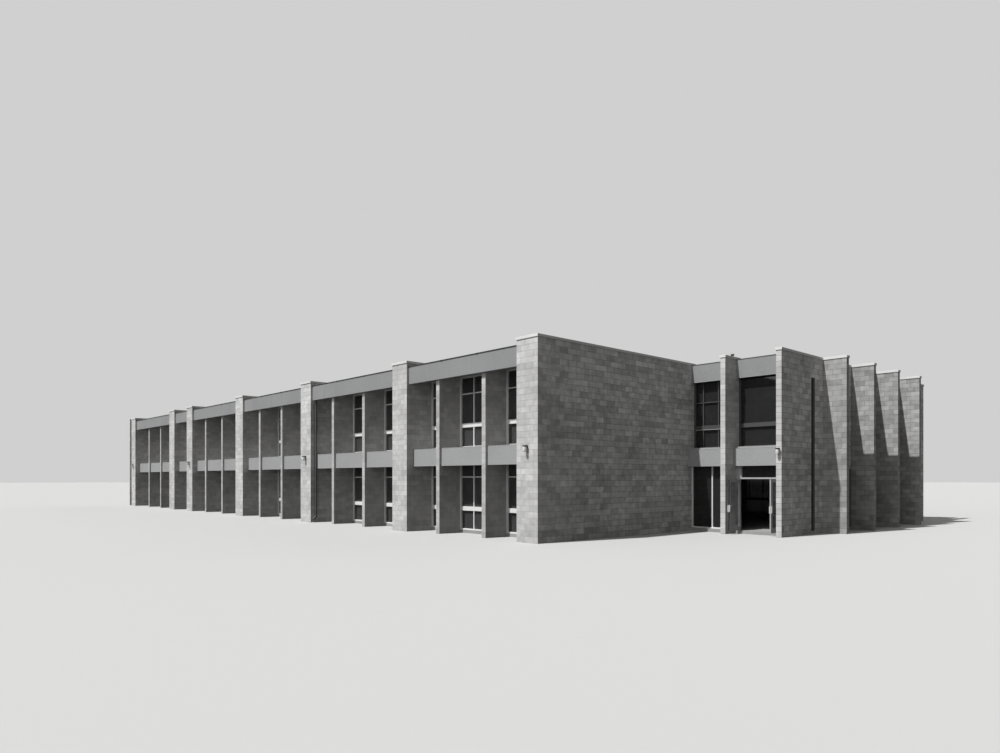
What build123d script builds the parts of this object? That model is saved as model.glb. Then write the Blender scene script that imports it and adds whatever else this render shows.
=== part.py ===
from build123d import *
import os

# A two-storey school of concrete blockwork, as a model at half the real size, in millimetres.
# The origin is on the ground at the middle of the plan. +X points to the end with the entrance,
# +Y to the back and +Z up. The plan repeats itself after half a turn about +Z: what stands at the
# front stands again at the rear, and what stands at the east end stands again at the west end.

os.makedirs("parts", exist_ok=True)

# Plan
plan_depth = 11280.0
slot_width = 188.0
wall_thickness = 100.0
end_recess = 2142.0
corner_pier_width = 500.0
pier_width = 515.0

# Bays of the long front, each from one pier's right face to the next one's, from the east end on
first_bay = 3727.0
typical_bay = 4076.0
typical_bay_count = 3
narrow_bay = 1744.0
last_bay = 4548.0
fin_spacing = 1359.0
first_bay_fin = 1432.0
typical_bay_fin = 1782.0
last_bay_fin = 1790.0

# How far each line of the front lies behind the pier faces
fascia_setback = 44.0
fin_setback = 107.0
spandrel_setback = 152.0
window_setback = 594.0

# Lines of the entrance recess: its upper windows lie behind the same pier faces, and the doors, the
# spandrels and the fronts of the walls lie in front of those windows
entry_window_setback = 4442.0
entry_door_lead = 92.0
entry_spandrel_lead = 210.0
entry_wall_lead = 499.0
entry_fin_offset = 915.0

# Levels and heights. The windows of both storeys are as tall as the lintels leave them.
floor_level = 60.0
storey_height = 1600.0
floor_thickness = 150.0
lintel_depth = 245.0
ledge_thickness = 75.0
spandrel_drop = 31.0
spandrel_height = 340.0
fascia_drop = 94.0
fascia_height = 335.0
entry_fascia_drop = 36.0
parapet_height = 324.0
parapet_lip = 6.0

# Panels, copings and trims
panel_thickness = 50.0
coping_height = 46.0
coping_overhang = 15.0
trim_height = 18.0
trim_overhang = 8.0

# Window joinery
frame_depth = 40.0
frame_width = 50.0
mid_rail_height = 80.0
mid_rail_rise = 372.0
glass_thickness = 5.0
slit_frame_width = 20.0
side_reveal = 40.0
entry_mullion_width = 42.0
entry_mullion_place = 450.0

# Side walls: a slit from the ground floor up, fins, and a window beside each later fin
slit_start = 5111.0
slit_width = 155.0
slit_drop = 58.0
side_fin_start = 5607.0
side_fin_pitch = 1320.0
side_fin_count = 4
side_fin_projection = 457.0
side_window_width = 450.0
side_window_height = 1180.0

# Entrance doors
jamb_width = 75.0
door_gap = 6.0
door_thickness = 22.0
door_opening = 981.0
door_stile = 48.0
door_bottom_rail = 80.0
transom_height = 30.0
pivot_standoff = 8.0
knuckle_radius = 5.0
knuckle_height = 16.0
knuckle_gap = 0.3
hinge_plate = 24.0
hinge_plate_thickness = 5.0
hinge_clearance = 1.0
hinge_rise = 140.0
hinge_count = 3
lock_rise = 360.0
lock_height = 130.0
lock_width = 44.0
lock_depth = 14.0

# Wall lights, downpipes and roof vent
light_drop = 85.0
light_radius = 32.0
light_height = 95.0
light_reach = 55.0
light_cap_height = 20.0
light_cap_lip = 8.0
light_arm = 24.0
light_every = 2
pipe_radius = 22.0
pipe_standoff = 6.0
pipe_clip_height = 20.0
pipe_clip_count = 4
pipe_clip_width = 20.0
pipe_pier = 2
shoe_height = 150.0
shoe_reach = 75.0
shoe_drop = 75.0
vent_from_side = 2092.0
vent_from_wing = 798.0
vent_radius = 22.0
vent_height = 600.0
vent_cap_radius = 40.0
vent_cap_height = 34.0

# Bays as they follow each other, each with its fins' right faces measured from the pier before it
bays = [(first_bay, [first_bay_fin, first_bay_fin + fin_spacing])]
bays += [(typical_bay, [typical_bay_fin, typical_bay_fin + fin_spacing])] * typical_bay_count
bays += [(narrow_bay, []), (last_bay, [last_bay_fin, last_bay_fin + fin_spacing])]

# Lines worked out from the sizes above
front_length = sum(pitch for pitch, _ in bays) + pier_width + slot_width + wall_thickness
front = -plan_depth / 2
side_out = (front_length + end_recess) / 2
side_in = side_out - wall_thickness
end_out = side_out - end_recess
end_in = end_out - wall_thickness
pier_back = front + window_setback + frame_depth
upper_line = front + entry_window_setback
zone_line = upper_line + frame_depth
entry_glass_line = upper_line - entry_door_lead
entry_panel_front = upper_line - entry_spandrel_lead
wall_front = upper_line - entry_wall_lead
window_height = storey_height - lintel_depth
window_head = floor_level + window_height
first_floor = floor_level + storey_height
slab_under = first_floor - floor_thickness
spandrel_top = first_floor - spandrel_drop
spandrel_bottom = spandrel_top - spandrel_height
ceiling = first_floor + window_height
roof_top = ceiling + floor_thickness
fascia_bottom = ceiling - fascia_drop
fascia_top = fascia_bottom + fascia_height
wall_top = ceiling + parapet_height
coping_top = wall_top + coping_height
half_turn = Rot(0, 0, 180)


def block(x, y, z):
    """A rectangular solid between the low and high limits of each axis."""
    middle = [(low + high) / 2 for low, high in (x, y, z)]
    return Pos(*middle) * Box(*[high - low for low, high in (x, y, z)])


def with_turned(solids):
    """The solids and their copies after half a turn about the plan's middle."""
    return solids + [half_turn * solid for solid in solids]


def save(node, solids):
    export_step(Compound(children=solids), f"parts/{node}.step")


def save_pair(name, other, solids):
    """One node at the front or east, and its half-turned twin at the rear or west."""
    save(name, solids)
    save(other, [half_turn * solid for solid in solids])


def window(x, z, y, rails=(), mullions=(), rim=frame_width):
    """A window frame in one piece: its rails and mullions are (low, high) limits inside the rim."""
    columns = [x[0] + rim] + [edge for bar in mullions for edge in bar] + [x[1] - rim]
    rows = [z[0] + rim] + [edge for bar in rails for edge in bar] + [z[1] - rim]
    frame = block(x, (y, y + frame_depth), z)
    for left, right in zip(columns[::2], columns[1::2]):
        for low, high in zip(rows[::2], rows[1::2]):
            frame -= block((left, right), (y, y + frame_depth), (low, high))
    return frame


def pane(x, z, y):
    """A sheet of glass behind a frame whose front is at y."""
    return block(x, (y + frame_depth, y + frame_depth + glass_thickness), z)


def coping(x, y):
    return block(x, y, (wall_top, coping_top))


# The front's plan: the right faces of its piers, and the fins between each two piers
pier_edges = [(end_out - corner_pier_width, end_out)]
fin_edges = []
bay_limits = []
lights = []
right_face = end_out
for pitch, fin_places in bays:
    next_face = right_face - pitch
    fins = [right_face - place for place in fin_places]
    fin_edges += [(face - wall_thickness, face) for face in fins]
    bay_limits.append((next_face, pier_edges[-1][0]))
    starts = [pier_edges[-1][0]] + [face - wall_thickness for face in fins]
    lights += [(end, start) for start, end in zip(starts, fins + [next_face])]
    pier_edges.append((next_face - pier_width, next_face))
    right_face = next_face

# Floors and roof: each level has a slab in either wing, front and rear, and one in the core between
levels = {
    "ground_slab": (0, floor_level),
    "floor_slab": (slab_under, first_floor),
    "roof_slab": (ceiling, roof_top),
}
for level, z in levels.items():
    front_slab = block((-side_in, end_in), (pier_back, zone_line), z)
    save(f"wing_{level}s", with_turned([front_slab]))
    save(f"middle_{level}", [block((-side_in, side_in), (zone_line, -zone_line), z)])

# Front piers and fins
piers = [block(x, (front, pier_back), (0, wall_top)) for x in pier_edges]
save_pair("front_piers", "rear_piers", piers)
fins = [block(x, (front + fin_setback, pier_back), (0, ceiling)) for x in fin_edges]
save_pair("front_fins", "rear_fins", fins)

# Kerbs under the ground-floor windows, and the blockwork that closes the slot beside the last pier
window_line = front + window_setback
kerbs = [block(x, (window_line, pier_back), (0, floor_level)) for x in lights]
save("window_kerbs", with_turned(kerbs))
slot = (-side_in, pier_edges[-1][0])
save("slot_walls", with_turned([block(slot, (window_line, pier_back), (0, roof_top))]))

# Spandrel panels between the fins, each on a ledge that runs back to the lintel over the windows
spandrel_back = front + spandrel_setback + panel_thickness
spandrels = [
    block(x, (front + spandrel_setback, spandrel_back), (spandrel_bottom, spandrel_top)) for x in lights
]
save("spandrels", with_turned(spandrels))
ledge_z = (spandrel_top - ledge_thickness, spandrel_top)
ledges = [block(x, (spandrel_back, window_line), ledge_z) for x in lights]
save("ledges", with_turned(ledges))
lintels = [block(x, (window_line, pier_back), (window_head, first_floor)) for x in lights]
save("lintels", with_turned(lintels))

# Fascias from pier to pier, the eaves slab behind them, and the metal trim on top
fascia_y = (front + fascia_setback, front + fascia_setback + panel_thickness)
fascias = [block(x, fascia_y, (fascia_bottom, fascia_top)) for x in bay_limits]
save("fascias", with_turned(fascias))
eaves = [block(x, (fascia_y[1], pier_back), (ceiling, roof_top)) for x in bay_limits]
save("eaves_slabs", with_turned(eaves))
trim_y = (fascia_y[0] - trim_overhang, fascia_y[1] + trim_overhang)
trims = [block(x, trim_y, (fascia_top, fascia_top + trim_height)) for x in bay_limits]
save("fascia_trims", with_turned(trims))

# End walls
end_wall = block((end_in, end_out), (pier_back, zone_line), (0, wall_top))
save("end_walls", with_turned([end_wall]))

# Side walls, each cut by its slit and its windows
side_x = (side_in, side_out)
fin_fronts = [front + side_fin_start + side_fin_pitch * k for k in range(side_fin_count)]
slit_y = (front + slit_start, front + slit_start + slit_width)
side_windows = [(face - side_window_width, face) for face in fin_fronts[1:]]
slit_z = (floor_level, ceiling - slit_drop)
side_z = (floor_level, floor_level + side_window_height)
side_wall = block(side_x, (wall_front, -front), (0, wall_top))
side_wall -= block(side_x, slit_y, slit_z)
for y in side_windows:
    side_wall -= block(side_x, y, side_z)
save_pair("east_side_wall", "west_side_wall", [side_wall])
side_fins = [
    block((side_out, side_out + side_fin_projection), (face, face + wall_thickness), (0, wall_top))
    for face in fin_fronts
]
save("side_fins", with_turned(side_fins))

# The fin that stands in the entrance recess, with the threshold and the panels either side of it
entry_fin_x = (end_out + entry_fin_offset, end_out + entry_fin_offset + wall_thickness)
save("entry_fins", with_turned([block(entry_fin_x, (wall_front, zone_line), (0, wall_top))]))
entry_bays = [(end_out, entry_fin_x[0]), (entry_fin_x[1], side_in)]
entry_panel_back = entry_panel_front + panel_thickness
entry_fascia_back = entry_glass_line + panel_thickness
entry_spandrels = [
    block(x, (entry_panel_front, entry_panel_back), (spandrel_bottom, spandrel_top)) for x in entry_bays
]
save("entry_spandrels", with_turned(entry_spandrels))
entry_fascia_z = (ceiling - entry_fascia_drop, wall_top - parapet_lip)
entry_fascias = [block(x, (entry_glass_line, entry_fascia_back), entry_fascia_z) for x in entry_bays]
save("entry_fascias", with_turned(entry_fascias))
entry_slabs = []
for x in entry_bays:
    entry_slabs += [
        block(x, (entry_panel_front, zone_line), (0, floor_level)),
        block(x, (entry_panel_back, zone_line), (slab_under, first_floor)),
        block(x, (entry_fascia_back, zone_line), (ceiling, roof_top)),
    ]
save("entry_slabs", with_turned(entry_slabs))

# Copings along every wall that rises past the roof
pier_copings = [
    coping(
        (low - coping_overhang, high + coping_overhang), (front - coping_overhang, pier_back + coping_overhang)
    )
    for low, high in pier_edges
]
save("pier_copings", with_turned(pier_copings))
end_coping = coping((end_in - coping_overhang, end_out + coping_overhang), (pier_back + coping_overhang, zone_line))
save("end_wall_copings", with_turned([end_coping]))
side_coping = coping(
    (side_in - coping_overhang, side_out + coping_overhang), (wall_front - coping_overhang, -front + coping_overhang)
)
save("side_wall_copings", with_turned([side_coping]))
fin_copings = [
    coping(
        (side_out + coping_overhang, side_out + side_fin_projection + coping_overhang),
        (face - coping_overhang, face + wall_thickness + coping_overhang),
    )
    for face in fin_fronts
]
fin_copings.append(
    coping(
        (entry_fin_x[0] - coping_overhang, entry_fin_x[1] + coping_overhang),
        (wall_front - coping_overhang, zone_line),
    )
)
save("fin_copings", with_turned(fin_copings))

# Windows of the long fronts: one frame between each two fins on each storey, with glass behind it
frames = []
panes = []
for x in lights:
    for sill in (floor_level, first_floor):
        z = (sill, sill + window_height)
        rail = (sill + mid_rail_rise, sill + mid_rail_rise + mid_rail_height)
        frames.append(window(x, z, window_line, rails=[rail]))
        panes.append(pane(x, z, window_line))
save_pair("front_window_frames", "rear_window_frames", frames)
save("window_glass", with_turned(panes))

# Windows of the side walls: the slit, and a narrow light beside each later fin
turn_east = Rot(0, 0, 90)
side_line = -(side_out - side_reveal)
side_frames = [turn_east * window(slit_y, slit_z, side_line, rim=slit_frame_width)]
side_frames += [turn_east * window(y, side_z, side_line) for y in side_windows]
save("side_window_frames", with_turned(side_frames))
side_panes = [turn_east * pane(slit_y, slit_z, side_line)]
side_panes += [turn_east * pane(y, side_z, side_line) for y in side_windows]
save("side_window_glass", with_turned(side_panes))

# Windows of the entrance recess. At the east end the doors take the ground-floor bay beside the wall.
mullion = (end_out + entry_mullion_place, end_out + entry_mullion_place + entry_mullion_width)
ground_z = (floor_level, slab_under)
upper_z = (first_floor, ceiling)
upper_rail = (first_floor + mid_rail_rise, first_floor + mid_rail_rise + mid_rail_height)
door_bay = entry_bays[1]
entry_frames = [window(entry_bays[0], ground_z, entry_glass_line, mullions=[mullion])]
entry_frames += [window(x, upper_z, upper_line, rails=[upper_rail]) for x in entry_bays]
far_frame = half_turn * window(door_bay, ground_z, entry_glass_line)
save("entry_window_frames", with_turned(entry_frames) + [far_frame])
door_head = floor_level + door_opening
fanlight_x = (door_bay[0] + jamb_width, door_bay[1] - jamb_width)
fanlight_z = (door_head, slab_under)
entry_panes = [pane(entry_bays[0], ground_z, entry_glass_line)]
entry_panes += [pane(x, upper_z, upper_line) for x in entry_bays]
far_pane = half_turn * pane(door_bay, ground_z, entry_glass_line)
fanlight_pane = pane(fanlight_x, fanlight_z, entry_glass_line)
save("entry_window_glass", with_turned(entry_panes) + [far_pane, fanlight_pane])

# Door surround: two jambs, and the fanlight frame that spans between them over the doors
jamb_y = (entry_glass_line, entry_glass_line + frame_depth)
jamb_sides = [(door_bay[0], fanlight_x[0]), (fanlight_x[1], door_bay[1])]
save("door_jambs", [block(x, jamb_y, ground_z) for x in jamb_sides])
save("door_fanlight", [window(fanlight_x, fanlight_z, entry_glass_line, rim=transom_height)])

# Door leaves, drawn shut at the left jamb, then swung open to stand square to the wall
pivot = (fanlight_x[0], entry_glass_line - pivot_standoff)
leaf_width = (fanlight_x[1] - fanlight_x[0] - 3 * door_gap) / 2
leaf_x = (pivot[0] + door_gap, pivot[0] + door_gap + leaf_width)
leaf_y = (entry_glass_line, entry_glass_line + door_thickness)
leaf_z = (floor_level + door_gap, door_head - door_gap)
light_x = (leaf_x[0] + door_stile, leaf_x[1] - door_stile)
light_z = (leaf_z[0] + door_bottom_rail, leaf_z[1] - door_stile)
leaf = block(leaf_x, leaf_y, leaf_z) - block(light_x, leaf_y, light_z)
hinge_height = 2 * knuckle_height + knuckle_gap
hinge_low = leaf_z[0] + hinge_rise
hinge_high = leaf_z[1] - hinge_rise - hinge_height
plate_y = (entry_glass_line - hinge_plate_thickness, entry_glass_line)


def knuckle(low):
    return Pos(*pivot, low + knuckle_height / 2) * Cylinder(knuckle_radius, knuckle_height)


# Each hinge has a lower knuckle on the jamb and an upper one on the leaf
fixed_hinges = []
for k in range(hinge_count):
    low = hinge_low + (hinge_high - hinge_low) * k / (hinge_count - 1)
    high = low + knuckle_height + knuckle_gap
    fixed_x = (pivot[0] - hinge_plate, pivot[0] - hinge_clearance)
    leaf_side_x = (pivot[0] + hinge_clearance, leaf_x[0] + hinge_plate)
    fixed_hinges.append(knuckle(low) + block(fixed_x, plate_y, (low, low + knuckle_height)))
    leaf += knuckle(high) + block(leaf_side_x, plate_y, (high, high + knuckle_height))

glass_y = ((leaf_y[0] + leaf_y[1] - glass_thickness) / 2, (leaf_y[0] + leaf_y[1] + glass_thickness) / 2)
leaf_glass = block(light_x, glass_y, light_z)
lock_x = (leaf_x[1] - lock_width, leaf_x[1])
lock_z = (floor_level + lock_rise, floor_level + lock_rise + lock_height)
locks = [
    block(lock_x, (leaf_y[0] - lock_depth, leaf_y[0]), lock_z),
    block(lock_x, (leaf_y[1], leaf_y[1] + lock_depth), lock_z),
]
swing_open = Pos(*pivot, 0) * Rot(0, 0, -90) * Pos(-pivot[0], -pivot[1], 0)
between_leaves = Plane.YZ.offset((fanlight_x[0] + fanlight_x[1]) / 2)
save("door_hinges", fixed_hinges + [mirror(hinge, about=between_leaves) for hinge in fixed_hinges])
for node, solids in {"leaf": [leaf], "glass": [leaf_glass], "lock": locks}.items():
    opened = [swing_open * solid for solid in solids]
    save(f"left_door_{node}", opened)
    save(f"right_door_{node}", [mirror(solid, about=between_leaves) for solid in opened])

# Wall lights: an arm and cap with a glass bowl hanging under it, on every second pier and on the
# front edge of the side wall
light_points = [((low + high) / 2, front) for low, high in pier_edges[::light_every]]
light_points.append(((side_in + side_out) / 2, wall_front))
light_level = first_floor - light_drop
caps = []
bowls = []
for x, y in light_points:
    seat = Pos(x, y - light_reach, light_level)
    cap = seat * Pos(0, 0, light_cap_height / 2) * Cylinder(light_radius + light_cap_lip, light_cap_height)
    arm_z = (light_level, light_level + light_cap_height)
    caps.append(cap + block((x - light_arm / 2, x + light_arm / 2), (y - light_reach, y), arm_z))
    bowls.append(seat * Pos(0, 0, -light_height / 2) * Cylinder(light_radius, light_height))
save("wall_light_caps", with_turned(caps))
save("wall_light_bowls", with_turned(bowls))

# Downpipe in the corner of a pier, clipped to it, from the eaves to an angled shoe near the ground
pipe_face = pier_edges[pipe_pier][1]
pipe_x = pipe_face + pipe_standoff + pipe_radius
pipe_y = (fascia_y[1] + front + spandrel_setback) / 2
pipe_path = Polyline(
    (pipe_x, pipe_y, ceiling),
    (pipe_x, pipe_y, shoe_height),
    (pipe_x, pipe_y - shoe_reach, shoe_height - shoe_drop),
)
pipe_end = Plane(origin=pipe_path @ 0, z_dir=pipe_path % 0)
pipe = sweep(pipe_end * Circle(pipe_radius), path=pipe_path, transition=Transition.RIGHT)
for k in range(pipe_clip_count):
    clip_z = shoe_height + (ceiling - shoe_height) * (k + 1) / (pipe_clip_count + 1)
    clip_y = (pipe_y - pipe_clip_width / 2, pipe_y + pipe_clip_width / 2)
    pipe += block((pipe_face, pipe_x), clip_y, (clip_z, clip_z + pipe_clip_height))
save("downpipes", with_turned([pipe]))

# Roof vent: a pipe through the core's roof with a flat cap
vent_foot = Pos(side_in - vent_from_side, -zone_line - vent_from_wing, roof_top)
vent = vent_foot * Pos(0, 0, vent_height / 2) * Cylinder(vent_radius, vent_height)
vent += vent_foot * Pos(0, 0, vent_height) * Cylinder(vent_cap_radius, vent_cap_height)
save("roof_vent", [vent])
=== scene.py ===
from math import pi, radians
import bmesh
import bpy
from mathutils import Matrix, Vector


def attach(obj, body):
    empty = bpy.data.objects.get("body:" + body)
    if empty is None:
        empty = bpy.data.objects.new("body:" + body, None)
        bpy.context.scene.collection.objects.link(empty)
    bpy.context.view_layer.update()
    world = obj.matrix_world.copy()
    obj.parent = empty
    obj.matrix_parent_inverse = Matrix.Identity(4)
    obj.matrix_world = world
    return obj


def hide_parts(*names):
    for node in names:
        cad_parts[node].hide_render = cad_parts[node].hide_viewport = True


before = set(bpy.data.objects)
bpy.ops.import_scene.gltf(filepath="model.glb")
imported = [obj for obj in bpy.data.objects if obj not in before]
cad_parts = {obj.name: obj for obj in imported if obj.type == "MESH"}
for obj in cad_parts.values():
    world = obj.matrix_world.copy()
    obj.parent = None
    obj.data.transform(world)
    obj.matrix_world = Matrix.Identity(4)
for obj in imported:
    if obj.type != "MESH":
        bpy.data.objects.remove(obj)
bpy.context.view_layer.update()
bpy.ops.object.select_all(action="DESELECT")

# The camera stands 2.1 m above the real ground, off the corner with the entrance, as in the
# photograph. It is level, and the shift keeps the upright walls upright.
eye, heading = (18.680, -13.615, 1.05), 0.8032
bpy.ops.object.camera_add(location=eye, rotation=(radians(90), 0, heading))
camera = bpy.context.object
camera.data.lens = 25.69
camera.data.shift_x = -0.0361
camera.data.shift_y = 0.102
bpy.context.scene.camera = camera


# Floors, roof slabs, eaves, lintels, ledges and kerbs: cast concrete, struck from smooth boards and
# left grey. The walls carry them, and they show at the eaves, in the recesses and at the doorway.
def finish(name, dark, light, patches, grain, rough, relief, metal=0.0):
    """A surface that drifts between two greys in broad patches, with a fine grain and a slight
    relief. Patches and grain are the scales of their noises."""
    material = bpy.data.materials.new(name)
    material.use_nodes = True
    nodes, links = material.node_tree.nodes, material.node_tree.links
    shader = nodes["Principled BSDF"]
    shader.inputs["Roughness"].default_value = rough
    shader.inputs["Metallic"].default_value = metal
    place = nodes.new("ShaderNodeTexCoord")
    broad = nodes.new("ShaderNodeTexNoise")
    broad.name = "broad"
    broad.inputs["Scale"].default_value = patches
    broad.inputs["Detail"].default_value = 5
    fine = nodes.new("ShaderNodeTexNoise")
    fine.inputs["Scale"].default_value = grain
    fine.inputs["Detail"].default_value = 3
    noise_low, noise_high = 0.3, 0.7
    tones = nodes.new("ShaderNodeValToRGB")
    tones.color_ramp.elements[0].position = noise_low
    tones.color_ramp.elements[0].color = (*dark, 1)
    tones.color_ramp.elements[1].position = noise_high
    tones.color_ramp.elements[1].color = (*light, 1)
    speckle = nodes.new("ShaderNodeMapRange")
    speckle.inputs["From Min"].default_value = noise_low
    speckle.inputs["From Max"].default_value = noise_high
    speckle.inputs["To Min"].default_value = 0.9
    speckle.inputs["To Max"].default_value = 1.08
    colour = nodes.new("ShaderNodeVectorMath")
    colour.operation = "SCALE"
    bump = nodes.new("ShaderNodeBump")
    bump.inputs["Strength"].default_value = relief
    bump.inputs["Distance"].default_value = 0.002
    links.new(place.outputs["Object"], broad.inputs["Vector"])
    links.new(place.outputs["Object"], fine.inputs["Vector"])
    links.new(broad.outputs["Fac"], tones.inputs["Fac"])
    links.new(fine.outputs["Fac"], speckle.inputs["Value"])
    links.new(tones.outputs["Color"], colour.inputs[0])
    links.new(speckle.outputs["Result"], colour.inputs["Scale"])
    links.new(colour.outputs["Vector"], shader.inputs["Base Color"])
    links.new(fine.outputs["Fac"], bump.inputs["Height"])
    links.new(bump.outputs["Normal"], shader.inputs["Normal"])
    return material


def clad(material, *names):
    """Gives CAD pieces their finish."""
    for name in names:
        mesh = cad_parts[name].data
        mesh.materials.clear()
        mesh.materials.append(material)


cast_concrete = finish(
    "cast_concrete", (0.30, 0.30, 0.295), (0.40, 0.40, 0.39),
    patches=1.3, grain=90, rough=0.9, relief=0.25,
)
clad(cast_concrete, "wing_ground_slabs", "wing_floor_slabs", "wing_roof_slabs")
clad(cast_concrete, "middle_ground_slab", "middle_floor_slab", "middle_roof_slab")
clad(cast_concrete, "entry_slabs", "eaves_slabs", "lintels", "ledges", "window_kerbs")


# Blockwork: grey concrete blocks, 400 by 200 mm on the real building, laid in running bond with
# flush mortar. The CAD walls are the mortar, and the faces of the blocks stand just proud of them.
# Each block has a tone of its own, and the end and side walls are pointed with a darker mortar.
mortar = finish(
    "mortar", (0.34, 0.34, 0.333), (0.42, 0.42, 0.41),
    patches=2.0, grain=160, rough=0.95, relief=0.4,
)
clad(mortar, "front_piers", "rear_piers", "front_fins", "rear_fins", "entry_fins")
dark_mortar = finish(
    "dark_mortar", (0.15, 0.15, 0.147), (0.21, 0.21, 0.205),
    patches=2.0, grain=160, rough=0.95, relief=0.4,
)
clad(dark_mortar, "end_walls", "slot_walls", "east_side_wall", "west_side_wall", "side_fins")


def graded(material, value, share_low, share_high, value_low=0.0, value_high=1.0):
    """Takes a finish's colour from one share of itself to another as a value runs between its
    limits."""
    nodes, links = material.node_tree.nodes, material.node_tree.links
    share = nodes.new("ShaderNodeMapRange")
    share.inputs["From Min"].default_value = value_low
    share.inputs["From Max"].default_value = value_high
    share.inputs["To Min"].default_value = share_low
    share.inputs["To Max"].default_value = share_high
    toned = nodes.new("ShaderNodeVectorMath")
    toned.operation = "SCALE"
    base_colour = nodes["Principled BSDF"].inputs["Base Color"]
    links.new(value, share.inputs["Value"])
    links.new(base_colour.links[0].from_socket, toned.inputs[0])
    links.new(share.outputs["Result"], toned.inputs["Scale"])
    links.new(toned.outputs["Vector"], base_colour)


block_finishes = {}
for name, dark, light, spread in (
    ("pier_block", (0.49, 0.487, 0.478), (0.61, 0.607, 0.595), 1.0),
    # painted shade: the fins' blocks are a darker copy of the piers' blocks, for fin sides in
    # recesses
    ("fin_block", (0.415, 0.413, 0.405), (0.505, 0.502, 0.493), 1.0),
    # painted light: the walls' blocks are a lighter copy of the same blocks, for walls in the shade
    ("wall_block", (0.55, 0.547, 0.537), (0.68, 0.677, 0.665), 1.75),
    ("side_fin_block", (0.33, 0.328, 0.322), (0.42, 0.418, 0.409), 1.5),
):
    face = finish(name, dark, light, patches=1.2, grain=210, rough=0.95, relief=0.5)
    block_finishes[name] = face
    nodes, links = face.node_tree.nodes, face.node_tree.links
    each_block = nodes.new("ShaderNodeNewGeometry")
    batch = nodes.new("ShaderNodeValToRGB")
    batch.color_ramp.elements[0].color = (*[1 - 0.15 * spread] * 3, 1)
    batch.color_ramp.elements[1].color = (*[1 + 0.14 * spread] * 3, 1)
    for share, drift in ((0.2, -0.07), (0.5, 0.0), (0.8, 0.06)):
        batch.color_ramp.elements.new(share).color = (*[1 + drift * spread] * 3, 1)
    toned = nodes.new("ShaderNodeVectorMath")
    toned.operation = "MULTIPLY"
    base_colour = nodes["Principled BSDF"].inputs["Base Color"]
    links.new(each_block.outputs["Random Per Island"], batch.inputs["Fac"])
    links.new(base_colour.links[0].from_socket, toned.inputs[0])
    links.new(batch.outputs["Color"], toned.inputs[1])
    links.new(toned.outputs["Vector"], base_colour)
    place = nodes.new("ShaderNodeTexCoord")
    blotches = nodes.new("ShaderNodeTexNoise")
    blotches.inputs["Scale"].default_value = 9
    blotches.inputs["Detail"].default_value = 4
    links.new(place.outputs["Object"], blotches.inputs["Vector"])
    shares = (1 - 0.11 * spread, 1 + 0.10 * spread)
    graded(face, blotches.outputs["Fac"], *shares, value_low=0.3, value_high=0.7)

bpy.ops.mesh.primitive_cube_add(size=1)
block = bpy.context.object
bpy.ops.object.mode_set(mode="EDIT")
bpy.ops.mesh.select_mode(type="EDGE")
bpy.ops.mesh.select_all(action="DESELECT")
cage = bmesh.from_edit_mesh(block.data)
for edge in cage.edges:
    edge.select_set(all(corner.co.z > 0.4 for corner in edge.verts))
bmesh.update_edit_mesh(block.data)
bpy.ops.mesh.bevel(offset=0.1, affect="EDGES")
bpy.ops.object.mode_set(mode="OBJECT")
# Each corner of the block by its side along the wall, its side upwards and its layer, from the
# back (0) over the foot of the bevel (1) to the face (2)
block_corners = [
    (point.co.x > 0, point.co.y > 0, 0 if point.co.z < 0 else 1 if point.co.z < 0.45 else 2)
    for point in block.data.vertices
]
block_sides = [tuple(side.vertices) for side in block.data.polygons]
bpy.data.objects.remove(block)

# A half block is as long as a course is high. How far each layer stands out from the wall, and how
# far a block runs past its own length at a mortar joint, a free corner and the side of an opening:
half_block = 0.1
block_bed, block_bevel, proud = 0.001, 0.0012, 0.0018
layer_depth = (-block_bed, proud - block_bevel, proud)
edge_shift = {
    "joint": (-0.0025, -0.0025, -0.0037),
    "arris": (-block_bed, proud - block_bevel, proud),
    "reveal": (0.0, 0.0, -block_bevel),
}
least_piece = 0.008


def cut_round(pieces, opening):
    """Takes an opening out of the pieces of a block, each given as its left, right, foot and head
    along the wall and the kinds of its left and right edge."""
    low, high, sill, top = opening
    kept = []
    for left, right, foot, head, left_kind, right_kind in pieces:
        if right <= low or left >= high or head <= sill or foot >= top:
            kept.append((left, right, foot, head, left_kind, right_kind))
            continue
        within = (max(left, low), min(right, high))
        if left < low - least_piece:
            kept.append((left, low, foot, head, left_kind, "reveal"))
        if right > high + least_piece:
            kept.append((high, right, foot, head, "reveal", right_kind))
        if head > top + least_piece:
            kept.append((*within, top, head, "joint", "joint"))
        if foot < sill - least_piece:
            kept.append((*within, foot, sill, "joint", "joint"))
    return kept


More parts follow.
